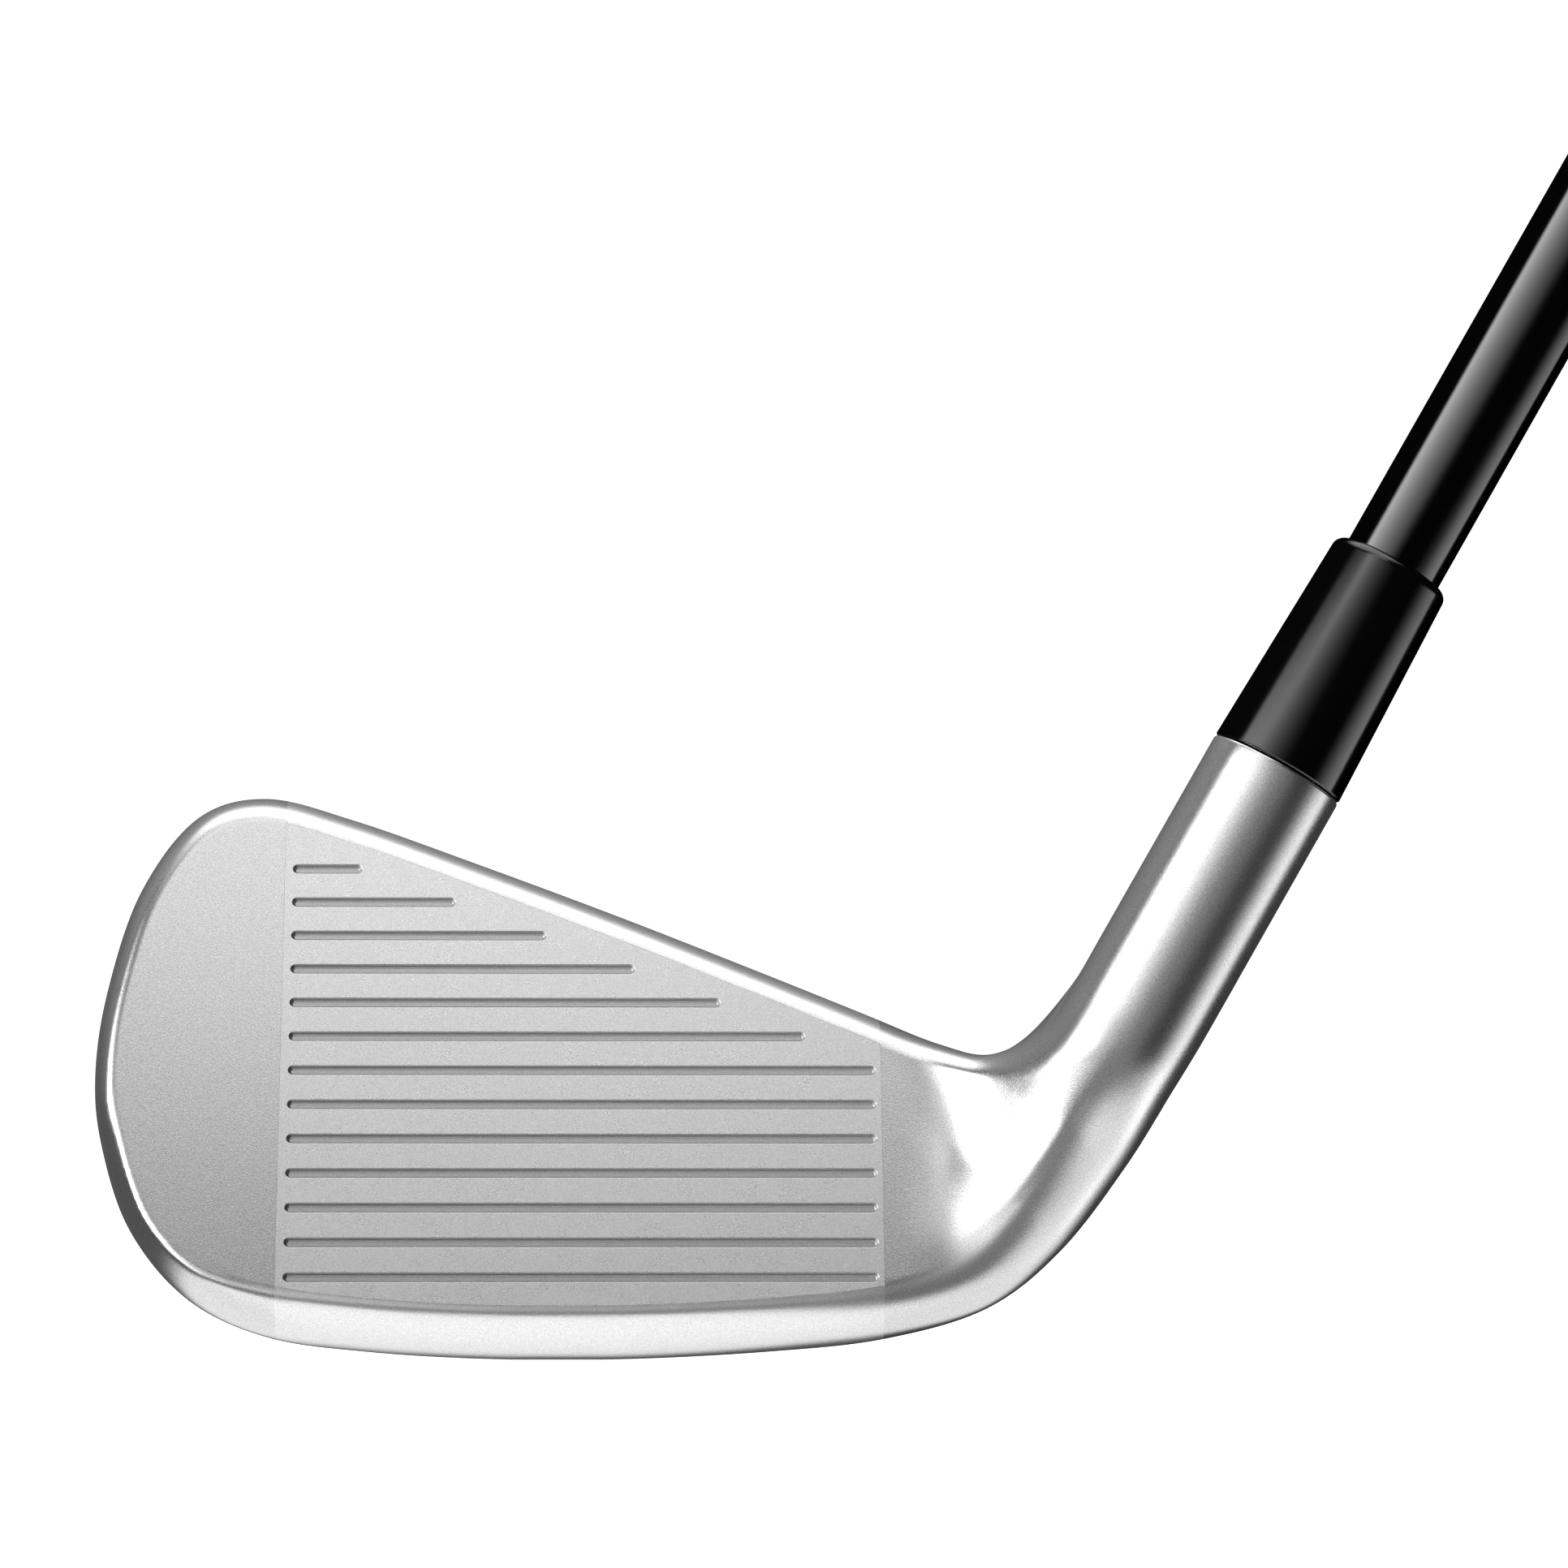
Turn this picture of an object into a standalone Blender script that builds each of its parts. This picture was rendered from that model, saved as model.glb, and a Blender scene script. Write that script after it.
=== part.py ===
"""Iron golf club, standing on its sole at address.

X runs from the toe to the heel, Y from the striking face to the back, Z up. The origin is where
the sole touches the ground below the middle of the face. Every shaft piece hangs on one empty,
whose Z axis is the shaft's axis and whose origin is where that axis meets the ground.
"""
from math import cos, pi, radians, sin, tan

import bmesh
import bpy
import numpy as np

MM = 0.001
GAP = 0.3           # clearance between a piece and the neighbour that it sits in, mm

# ---- head, mm -------------------------------------------------------------------------------
LOFT = radians(21.0)
LIE = radians(60.2)
LEADING_EDGE_Y = -7.0       # where the face plane meets the leading edge
LEADING_EDGE_Z = 5.0
HOSEL_RADIUS = 6.8
HOSEL_TOP = 65.6            # along the shaft axis, from the ground
SHAFT_AXIS_X = 35.85        # where the shaft axis meets the ground
SHAFT_AXIS_Y = -3.3
TOP_THICKNESS = 8.0         # from the face to the back at the top line
SOLE_THICKNESS = 21.5       # the same at the ground
BULGE_TOP = 34.0            # height at which the back reaches its top thickness
MUSCLE_LINE = 24.0          # height of the step across the back
MUSCLE_STEP = 1.4
MUSCLE_SOFTNESS = 4.0
SOLE_FLAT_DEPTH = 0.05      # how much of the sole's rocker is ground flat

# The outline seen from the front. Rib i joins point i of the upper rail to point i of the lower
# rail, and both rails start at the toe tip. The last ribs lie square across the hosel.
TOE_TIP = (-46.2, 27.5)
UPPER_RAIL = [(-45.3, 35.8), (-42.4, 45.7), (-37.1, 53.2), (-30.3, 55.3), (-21.5, 53.1),
              (-9.0, 48.6), (5.0, 43.3), (18.5, 37.9), (29.0, 33.6), (36.2, 30.6),
              (41.0, 29.5), (45.3, 31.8), (49.0, 36.7)]
LOWER_RAIL = [(-45.3, 20.5), (-42.3, 12.4), (-36.6, 5.8), (-29.0, 2.2), (-19.5, 0.8),
              (-7.5, 0.1), (6.0, 0.1), (19.5, 0.8), (30.5, 2.0), (40.4, 4.9),
              (47.5, 10.4), (53.55, 18.2), (58.4, 26.1)]
HOSEL_RIBS = (45.0, HOSEL_TOP, 86.2)    # along the shaft axis; the last one only steers the curve
BLADE_END_RIB = 9.3         # the last rib that is all blade
HOSEL_TOP_RIB = len(UPPER_RAIL) + 2
FIRST_STATION_RIB = 0.12    # the skin starts this close to the toe tip
STATIONS_PER_RIB = 3
POINTS_ACROSS = 20

# Rounded edges as (width on the outline's side, depth along Y), at the top line and at the sole
FRONT_EDGE_TOP = (2.35, 4.8)
FRONT_EDGE_SOLE = (5.0, 6.5)
BACK_EDGE_TOP = (2.4, 2.5)
BACK_EDGE_SOLE = (3.0, 5.0)
SOLE_NORMAL_START = 0.4     # how far down an edge faces before it starts to turn into sole
SOLE_FLATNESS = (0.65, 0.28)    # 0 is an elliptical front edge, 1 a straight chamfer; sole and heel
FLAT_END_RIBS = (7.0, 9.5)      # between them the one turns into the other
FLAT_FADE = 1.4                 # how fast the flat part dies out in the neck
CORNER_NORMALS = (0.05, 0.4)    # how far down the edge faces where the flat part starts and is full
CORNER_SOFTNESS = 0.12

# The neck: a tube runs on from the hosel along the heel and dies out in the sole
NECK_RIBS = (8.2, 13.6)         # the front edge widens to the hosel's radius, on the lower rail
NECK_SWELL = 0.8                # and is this much wider than that, times 1/4, on the way
CROTCH_RIBS = (10.2, 14.0)      # the same on the upper rail
RISE_RIBS = (9.2, 13.2)         # the tube rises out of the face
CREST_REACH = 7.2               # from the heel's outline to the tube's crest
NECK_FLANK = (8.8, 18.8)        # from the crest down to the face, low on the heel and below the crotch
FLANK_SHAPE = (1.6, 4.6)
# Stretches along the shaft axis, from the ground
FLANK_GROWTH_ALONG = (5.0, 30.0)
FLANK_END_ALONG = (17.0, 43.5)
HOSEL_ALONG = (32.0, 39.0)      # the section turns into the hosel's circle

# ---- face plate, mm -------------------------------------------------------------------------
PLATE_TOE_X = -28.0
PLATE_HEEL_X = 30.3
PLATE_THICKNESS = 2.0
PLATE_ABOVE_SOLE = 5.2
PLATE_BELOW_TOP = 2.55
LEDGE_WIDTH = 1.8
LEDGE_THICKNESS = 1.2
BACK_WALL = 1.8
RIM_WALL = 3.0

GROOVE_COUNT = 13
GROOVE_PITCH = 3.57         # up the face
GROOVE_FIRST = 3.08         # from the leading edge, up the face
GROOVE_WIDTH = 0.9
GROOVE_FLOOR = 0.5
GROOVE_DEPTH = 0.45
GROOVE_TOE_X = -27.2
GROOVE_HEEL_X = 29.75
GROOVE_BELOW_TOP = 4.9
GROOVE_END_STEPS = 5

# ---- inside the head, mm --------------------------------------------------------------------
CAVITY_FIRST_RIB = 0.3
CAVITY_LAST_RIB = 8.6
WEIGHT_TOE_X = -32.0
WEIGHT_HEEL_X = -12.0
WEIGHT_TOP = 12.0
PORT_RIB = -1.9             # on the lower rail
PORT_SETBACK = 0.8          # behind the middle of the thickness
PORT_RADIUS = 2.0
PORT_DEPTH = 6.0
SCREW_RADIUS = PORT_RADIUS - GAP
SCREW_LENGTH = 2.2
SCREW_SINK = 0.3
SOCKET_RADIUS = 0.9
SOCKET_DEPTH = 1.3

# ---- shaft and grip, mm along the shaft axis --------------------------------------------------
CLUB_LENGTH = 990.6
BORE_RADIUS = 4.95
BORE_BOTTOM = 33.6
BOND_GAP = 0.03
TIP_RADIUS = 4.62           # inside the hosel, where the paint is taken off
SHAFT_RADIUS = 4.95
SHAFT_TIP = 34.2
SHAFT_TAPER_START = 300.0
BUTT_RADIUS = 7.6
TIP_WALL = 1.7
BUTT_WALL = 1.0
PLUG_LENGTH = 24.0
FERRULE_LENGTH = 22.8
FERRULE_TOP_RADIUS = 6.1
FERRULE_ROUND = 1.0
GRIP_LENGTH = 267.0
GRIP_MOUTH_RADIUS = 8.4
GRIP_BUTT_RADIUS = 13.2
GRIP_MOUTH_ROUND = 1.0
TAPE_THICKNESS = 0.25
CAP_RADIUS = 14.6
CAP_THICKNESS = 5.5
CAP_ROUND = 2.0
CAP_FLAT_RADIUS = 10.0
CAP_DOME = 0.5
VENT_RADIUS = 1.0
TURN_STEPS = 48
SHARP_ANGLE = radians(35)


# ---- small helpers ----------------------------------------------------------------------------
def clear_scene():
    for item in list(bpy.data.objects):
        bpy.data.objects.remove(item, do_unlink=True)


def material(name, color, roughness, metallic):
    made = bpy.data.materials.new(name)
    made.use_nodes = True
    shader = made.node_tree.nodes["Principled BSDF"]
    shader.inputs["Base Color"].default_value = (*color, 1.0)
    shader.inputs["Roughness"].default_value = roughness
    shader.inputs["Metallic"].default_value = metallic
    made.diffuse_color = (*color, 1.0)
    return made


def add_object(name, bm, surface=None, parent=None):
    """Close the bmesh into an object. Without a surface it is a cutter."""
    bmesh.ops.remove_doubles(bm, verts=bm.verts, dist=1e-7)
    bmesh.ops.recalc_face_normals(bm, faces=bm.faces)
    mesh = bpy.data.meshes.new(name)
    bm.to_mesh(mesh)
    bm.free()
    mesh.shade_smooth()
    mesh.set_sharp_from_angle(angle=SHARP_ANGLE)
    made = bpy.data.objects.new(name, mesh)
    bpy.context.scene.collection.objects.link(made)
    made.parent = parent
    if surface is None:
        made.hide_render = True
        made.display_type = "WIRE"
    else:
        mesh.materials.append(surface)
    return made


def cut(target, cutter):
    step = target.modifiers.new("cut_" + cutter.name, "BOOLEAN")
    step.operation = "DIFFERENCE"
    step.solver = "EXACT"
    step.object = cutter


def ease(low, high, value):
    u = np.clip((value - low) / (high - low), 0.0, 1.0)
    return u * u * (3.0 - 2.0 * u)


# ---- outline of the head ----------------------------------------------------------------------
def hosel_edge(along, side):
    """A point on the hosel's outline: side -1 is the toe side, +1 the heel side."""
    return (SHAFT_AXIS_X + along * cos(LIE) + side * HOSEL_RADIUS * sin(LIE),
            along * sin(LIE) - side * HOSEL_RADIUS * cos(LIE))


OUTLINE = np.array([hosel_edge(s, 1) for s in reversed(HOSEL_RIBS)]
                   + LOWER_RAIL[::-1] + [TOE_TIP] + UPPER_RAIL
                   + [hosel_edge(s, -1) for s in HOSEL_RIBS])
TOE_INDEX = len(OUTLINE) // 2


def outline_point(t):
    """Catmull-Rom curve through the outline. t is 0 at the toe tip, above 0 on the upper rail."""
    place = t + TOE_INDEX
    first = min(max(int(place), 1), len(OUTLINE) - 3)
    u = place - first
    a, b, c, d = OUTLINE[first - 1:first + 3]
    x, z = 0.5 * (2 * b + (c - a) * u + (2 * a - 5 * b + 4 * c - d) * u ** 2
                  + (3 * b - a - 3 * c + d) * u ** 3)
    if t < 0:
        z = max(z - SOLE_FLAT_DEPTH, 0.0)
    return np.array((x, z))


def outline_normal(t):
    step = 0.01
    along = outline_point(t + step) - outline_point(t - step)
    return np.array((-along[1], along[0])) / np.hypot(*along)


RIM_T = np.linspace(-HOSEL_TOP_RIB, HOSEL_TOP_RIB, 30 * HOSEL_TOP_RIB + 1)
RIM = np.array([outline_point(t) for t in RIM_T])
LOWER_SEGMENTS = len(RIM) // 2


def reach(x, z, last=None):
    """Distance to the outline, its parameter at the nearest point, and how far it faces down there.

    With last = LOWER_SEGMENTS only the lower rail counts.
    """
    start, along = RIM[:-1][:last], np.diff(RIM, axis=0)[:last]
    points = np.stack((x, z), axis=1)[:, None, :]
    share = np.clip(((points - start) * along).sum(2) / (along ** 2).sum(1), 0.0, 1.0)
    distance = np.hypot(*np.moveaxis(points - start - along * share[:, :, None], 2, 0))
    pick = distance.argmin(axis=1)
    facing_down = (-along[:, 0] / np.hypot(*along.T))[pick]
    place = pick + share[np.arange(len(pick)), pick]
    return distance.min(axis=1), np.interp(place, np.arange(len(RIM_T)), RIM_T), facing_down


def rail_height(x, side):
    """Height of the upper (+1) or lower (-1) rail at x, on the blade."""
    t = side * np.linspace(0.0, BLADE_END_RIB + 1.0, 400)
    rail = np.array([outline_point(value) for value in t])
    return np.interp(x, rail[:, 0], rail[:, 1])


# ---- front and back of the blade ----------------------------------------------------------------
def face_plane(z):
    return LEADING_EDGE_Y + (z - LEADING_EDGE_Z) * tan(LOFT)


def back_plane(z):
    return face_plane(z) + TOP_THICKNESS + (SOLE_THICKNESS - TOP_THICKNESS) * (
        1.0 - np.clip(z / BULGE_TOP, 0.0, 1.0)) ** 2


def mix(a, b, share):
    return a + (b - a) * share


def rounded(distance, width, depth, flatness=0.0):
    """How far an edge has rolled back at this distance from the outline. A flat one has a corner."""
    share = np.clip(1.0 - distance / width, 0.0, 1.0)
    straight = np.sqrt(share ** 2 + CORNER_SOFTNESS ** 2) - CORNER_SOFTNESS
    return depth * mix(1.0 - np.sqrt(1.0 - share ** 2), straight, flatness)


def along_hosel(x, z):
    return (x - SHAFT_AXIS_X) * cos(LIE) + z * sin(LIE)


def off_hosel(x, z):
    return (x - SHAFT_AXIS_X) * sin(LIE) - z * cos(LIE)


def sole_share(t, facing_down):
    """How much this stretch of the outline is sole, 0 to 1."""
    share = np.clip((facing_down - SOLE_NORMAL_START) / (1 - SOLE_NORMAL_START), 0.0, 1.0) ** 3
    return np.where(t < -NECK_RIBS[0], 1.0, share)


def blade_front(x, z):
    distance, t, facing_down = reach(x, z)
    sole = sole_share(t, facing_down)
    neck = np.where(t < 0.0, ease(*NECK_RIBS, -t), ease(*CROTCH_RIBS, t))
    width = mix(mix(FRONT_EDGE_TOP[0], FRONT_EDGE_SOLE[0], sole), HOSEL_RADIUS, neck)
    width = width + NECK_SWELL * neck * (1.0 - neck)
    depth = mix(mix(FRONT_EDGE_TOP[1], FRONT_EDGE_SOLE[1], sole), HOSEL_RADIUS, neck)
    cornered = np.where(t < 0.0, ease(*CORNER_NORMALS, facing_down), 0.0)
    flatness = mix(*SOLE_FLATNESS, ease(*FLAT_END_RIBS, -t))
    flatness = flatness * np.where(t < -NECK_RIBS[0], 1.0, cornered) * (1.0 - neck) ** FLAT_FADE
    from_heel, heel_t, _ = reach(x, z, LOWER_SEGMENTS)
    along = along_hosel(x, z)
    flank = mix(*NECK_FLANK, ease(*FLANK_GROWTH_ALONG, along))
    flank_left = 1.0 - ease(*FLANK_END_ALONG, along)
    past_crest = np.clip((from_heel - CREST_REACH) / flank, 0.0, 1.0) * flank_left
    rise = ease(*RISE_RIBS, -heel_t) * (1.0 - past_crest ** FLANK_SHAPE[0]) ** FLANK_SHAPE[1]
    return mix(face_plane(z), SHAFT_AXIS_Y - HOSEL_RADIUS, rise) + rounded(distance, width, depth, flatness)


def blade_back(x, z):
    distance, t, facing_down = reach(x, z)
    sole = sole_share(t, facing_down)
    muscle = MUSCLE_STEP * (1.0 - ease(MUSCLE_LINE - MUSCLE_SOFTNESS, MUSCLE_LINE + MUSCLE_SOFTNESS, z))
    return (back_plane(z) + muscle * ease(2.0, 7.0, distance)
            - rounded(distance, mix(BACK_EDGE_TOP[0], BACK_EDGE_SOLE[0], sole),
                      mix(BACK_EDGE_TOP[1], BACK_EDGE_SOLE[1], sole)))


# ---- mesh makers --------------------------------------------------------------------------------
def skin(rows):
    """Closed bmesh from rows of (x, z, y front, y back) stations. Values in mm."""
    bm = bmesh.new()
    loops = []
    for x, z, front, back in rows:
        ring = [bm.verts.new((a * MM, y * MM, b * MM)) for a, y, b in zip(x, front, z)]
        ring += [bm.verts.new((a * MM, y * MM, b * MM))
                 for a, y, b in zip(x[::-1], back[::-1], z[::-1])]
        loops.append(ring)
    for near, far in zip(loops, loops[1:]):
        for i in range(len(near)):
            j = (i + 1) % len(near)
            bm.faces.new((near[i], near[j], far[j], far[i]))
    bm.faces.new(loops[0][::-1])
    bm.faces.new(loops[-1])
    return bm


def head_skin():
    """The head from toe to hosel, each station from the lower to the upper rail."""
    rows = []
    turns = np.linspace(0.0, pi, POINTS_ACROSS + 1)
    share = (1.0 - np.cos(turns)) / 2.0
    for t in np.linspace(FIRST_STATION_RIB, HOSEL_TOP_RIB, HOSEL_TOP_RIB * STATIONS_PER_RIB + 1):
        low, high = outline_point(-t), outline_point(t)
        x, z = mix(low[0], high[0], share), mix(low[1], high[1], share)
        hosel = ease(*HOSEL_ALONG, along_hosel(x, z))
        swing = np.sqrt(np.clip(HOSEL_RADIUS ** 2 - off_hosel(x, z) ** 2, 0.0, None))
        rows.append((x, z, mix(blade_front(x, z), SHAFT_AXIS_Y - swing, hosel),
                     mix(blade_back(x, z), SHAFT_AXIS_Y + swing, hosel)))
    return skin(rows)


def panel(x_low, x_high, z_low, z_high, front, back, columns=12, lines=8):
    """Closed slab between two heights that are functions of x, and two depths of (x, z)."""
    rows = []
    for x in np.linspace(x_low, x_high, columns + 1):
        z = np.linspace(z_low(x), z_high(x), lines + 1)
        across = np.full_like(z, x)
        rows.append((across, z, front(across, z), back(across, z)))
    return skin(rows)


def plate_low(x):
    return rail_height(x, -1) + PLATE_ABOVE_SOLE


def plate_high(x):
    return rail_height(x, 1) - PLATE_BELOW_TOP


def cavity_skin(clearance, floor):
    """The hollow behind the face, or with a clearance the filler in it, above the floor line."""
    rows = []
    inset = RIM_WALL + clearance
    first, last = CAVITY_FIRST_RIB + clearance * 0.3, CAVITY_LAST_RIB - clearance * 0.1
    front_wall = PLATE_THICKNESS + GAP + LEDGE_THICKNESS + clearance
    share = np.linspace(0.0, 1.0, 9)
    for t in np.linspace(first, last, 22):
        low = outline_point(-t) - outline_normal(-t) * inset
        high = outline_point(t) - outline_normal(t) * inset
        low[1] = max(low[1], floor(low[0]))
        x = low[0] + (high[0] - low[0]) * share
        z = low[1] + (high[1] - low[1]) * share
        rows.append((x, z, face_plane(z) + front_wall, back_plane(z) - BACK_WALL - clearance))
    return skin(rows)


def turned(profile):
    """Closed bmesh of a closed (radius, along) profile turned about Z. Values in mm."""
    bm = bmesh.new()
    points = [bm.verts.new((radius * MM, 0.0, along * MM)) for radius, along in profile]
    edges = [bm.edges.new((a, b)) for a, b in zip(points, points[1:] + points[:1])]
    bmesh.ops.spin(bm, geom=points + edges, cent=(0, 0, 0), axis=(0, 0, 1), angle=2 * pi,
                   steps=TURN_STEPS, use_merge=True)
    return bm


def corner(radius, along, size, out, up, steps=4):
    """Quarter-round corner of a profile whose sharp corner is at (radius, along)."""
    centre = (radius - out * size, along - up * size)
    return [(centre[0] + out * size * cos(pi / 2 * i / steps),
             centre[1] + up * size * sin(pi / 2 * i / steps)) for i in range(steps + 1)]


# ---- head ---------------------------------------------------------------------------------------
def face_point(x, up, out):
    """A point by its place on the face: up from the leading edge, out along the face's normal."""
    return (x * MM,
            (LEADING_EDGE_Y + up * sin(LOFT) - out * cos(LOFT)) * MM,
            (LEADING_EDGE_Z + up * cos(LOFT) + out * sin(LOFT)) * MM)


def groove_loop(bm, toe_x, heel_x, up, width, out):
    """A slot outline with round ends, parallel to the face."""
    loop = []
    for centre_x, turn in ((heel_x - GROOVE_WIDTH / 2, -pi / 2), (toe_x + GROOVE_WIDTH / 2, pi / 2)):
        for i in range(GROOVE_END_STEPS + 1):
            angle = turn + pi * i / GROOVE_END_STEPS
            loop.append(bm.verts.new(face_point(centre_x + width / 2 * cos(angle),
                                                up + width / 2 * sin(angle), out)))
    return loop


def groove_cutter():
    bm = bmesh.new()
    proud = 0.2
    mouth = GROOVE_WIDTH + (GROOVE_WIDTH - GROOVE_FLOOR) * proud / GROOVE_DEPTH
    heights = rail_height(np.linspace(PLATE_TOE_X, PLATE_HEEL_X, 60), 1) - GROOVE_BELOW_TOP
    for i in range(GROOVE_COUNT):
        up = GROOVE_FIRST + i * GROOVE_PITCH
        z = LEADING_EDGE_Z + up * cos(LOFT)
        top_x = np.interp(-z, -heights, np.linspace(PLATE_TOE_X, PLATE_HEEL_X, 60))
        heel_x = min(GROOVE_HEEL_X, top_x)
        outer = groove_loop(bm, GROOVE_TOE_X, heel_x, up, mouth, proud)
        inner = groove_loop(bm, GROOVE_TOE_X, heel_x, up, GROOVE_FLOOR, -GROOVE_DEPTH)
        for a in range(len(outer)):
            b = (a + 1) % len(outer)
            bm.faces.new((outer[a], outer[b], inner[b], inner[a]))
        bm.faces.new(outer)
        bm.faces.new(inner)
    return add_object("groove_cutter", bm)


def build_face_plate(steel):
    plate = add_object("face_plate", panel(
        PLATE_TOE_X, PLATE_HEEL_X, plate_low, plate_high,
        lambda x, z: face_plane(z), lambda x, z: face_plane(z) + PLATE_THICKNESS, lines=1), steel)
    cut(plate, groove_cutter())


def build_head_body(steel, axis):
    body = add_object("head_body", head_skin(), steel)
    in_front = 12.0
    pocket = panel(PLATE_TOE_X - GAP, PLATE_HEEL_X + GAP,
                   lambda x: plate_low(x) - GAP, lambda x: plate_high(x) + GAP,
                   lambda x, z: face_plane(z) - in_front,
                   lambda x, z: face_plane(z) + PLATE_THICKNESS + GAP, lines=1)
    window = panel(PLATE_TOE_X + LEDGE_WIDTH, PLATE_HEEL_X - LEDGE_WIDTH,
                   lambda x: plate_low(x) + LEDGE_WIDTH, lambda x: plate_high(x) - LEDGE_WIDTH,
                   lambda x, z: face_plane(z) - in_front,
                   lambda x, z: face_plane(z) + PLATE_THICKNESS + GAP + LEDGE_THICKNESS + 0.4,
                   lines=1)
    cut(body, add_object("plate_pocket", pocket))
    cut(body, add_object("cavity", cavity_skin(0.0, lambda x: 0.0)))
    cut(body, add_object("plate_window", window))
    bore = [(0.0, BORE_BOTTOM), (BORE_RADIUS, BORE_BOTTOM), (BORE_RADIUS, HOSEL_TOP + 5.0),
            (0.0, HOSEL_TOP + 5.0)]
    cut(body, add_object("hosel_bore", turned(bore), parent=axis))
    port = [(0.0, -PORT_DEPTH), (PORT_RADIUS, -PORT_DEPTH), (PORT_RADIUS, 4.0), (0.0, 4.0)]
    cut(body, place_at_port(add_object("filler_port", turned(port))))
    return body


def place_at_port(piece):
    """Stand a piece on the toe, its Z axis pointing out through the rim."""
    x, z = outline_point(PORT_RIB)
    out_x, out_z = outline_normal(PORT_RIB)
    middle = (face_plane(z) + back_plane(z)) / 2 + PORT_SETBACK
    piece.location = (x * MM, middle * MM, z * MM)
    piece.rotation_euler = (0.0, np.arctan2(out_x, out_z), 0.0)
    return piece


def build_port_screw(steel):
    top, bottom = -SCREW_SINK, -SCREW_SINK - SCREW_LENGTH
    profile = [(0.0, bottom), (SCREW_RADIUS - 0.3, bottom), (SCREW_RADIUS, bottom + 0.3),
               (SCREW_RADIUS, top), (0.0, top)]
    screw = place_at_port(add_object("port_screw", turned(profile), steel))
    bm = bmesh.new()
    bmesh.ops.create_cone(bm, cap_ends=True, segments=6, radius1=SOCKET_RADIUS * MM,
                          radius2=SOCKET_RADIUS * MM, depth=2 * SOCKET_DEPTH * MM)
    bmesh.ops.translate(bm, verts=bm.verts, vec=(0, 0, top * MM))
    cut(screw, place_at_port(add_object("hex_socket", bm)))


def build_toe_weight(tungsten):
    front_wall = PLATE_THICKNESS + GAP + LEDGE_THICKNESS + GAP
    add_object("toe_weight", panel(
        WEIGHT_TOE_X, WEIGHT_HEEL_X, lambda x: rail_height(x, -1) + RIM_WALL + 2 * GAP,
        lambda x: WEIGHT_TOP, lambda x, z: face_plane(z) + front_wall,
        lambda x, z: back_plane(z) - BACK_WALL - GAP, lines=3), tungsten)


def core_floor(x):
    return (WEIGHT_TOP + GAP) * (1.0 - float(ease(WEIGHT_HEEL_X + 4.0, WEIGHT_HEEL_X + 9.0, x)))


# ---- shaft and grip -------------------------------------------------------------------------------
def shaft_radius(along):
    share = np.clip((along - SHAFT_TAPER_START) / (CLUB_LENGTH - SHAFT_TAPER_START), 0.0, 1.0)
    return SHAFT_RADIUS + (BUTT_RADIUS - SHAFT_RADIUS) * share


def shaft_bore(along):
    share = (along - SHAFT_TIP) / (CLUB_LENGTH - SHAFT_TIP)
    return shaft_radius(along) - TIP_WALL + (TIP_WALL - BUTT_WALL) * share


def build_shaft(graphite, axis):
    end = CLUB_LENGTH - CAP_THICKNESS - GAP
    seat = HOSEL_TOP + GAP
    bevel = 0.5
    outer = [(TIP_RADIUS - bevel, SHAFT_TIP), (TIP_RADIUS, SHAFT_TIP + bevel), (TIP_RADIUS, seat - 0.5),
             (SHAFT_RADIUS, seat + 0.5), (SHAFT_RADIUS, SHAFT_TAPER_START), (shaft_radius(end), end)]
    inner = [(shaft_bore(end), end), (shaft_bore(SHAFT_TAPER_START), SHAFT_TAPER_START),
             (shaft_bore(SHAFT_TIP), SHAFT_TIP)]
    add_object("shaft", turned(outer + inner), graphite, axis)


def build_hosel_epoxy(resin, axis):
    inside, outside = TIP_RADIUS + BOND_GAP, BORE_RADIUS - BOND_GAP
    low, high = SHAFT_TIP + 1.0, HOSEL_TOP - 1.0
    add_object("hosel_epoxy", turned([(inside, low), (outside, low), (outside, high),
                                      (inside, high)]), resin, axis)


def build_tip_plug(brass, axis):
    radius = shaft_bore(SHAFT_TIP + PLUG_LENGTH) - 0.1
    low = SHAFT_TIP + 1.0
    add_object("tip_plug", turned([(0.0, low), (radius - 0.4, low), (radius, low + 0.4),
                                   (radius, low + PLUG_LENGTH - 0.4),
                                   (radius - 0.4, low + PLUG_LENGTH),
                                   (0.0, low + PLUG_LENGTH)]), brass, axis)


def build_ferrule(plastic, axis):
    low = HOSEL_TOP + GAP
    high = low + FERRULE_LENGTH
    inside = SHAFT_RADIUS + 0.05
    recess = 0.5
    profile = [(inside, low + 1.5), (inside + recess, low), (HOSEL_RADIUS, low)]
    profile += corner(FERRULE_TOP_RADIUS, high, min(FERRULE_ROUND, FERRULE_TOP_RADIUS - inside - 0.1),
                      1, 1)
    profile += [(inside, high)]
    add_object("ferrule", turned(profile), plastic, axis)


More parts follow.
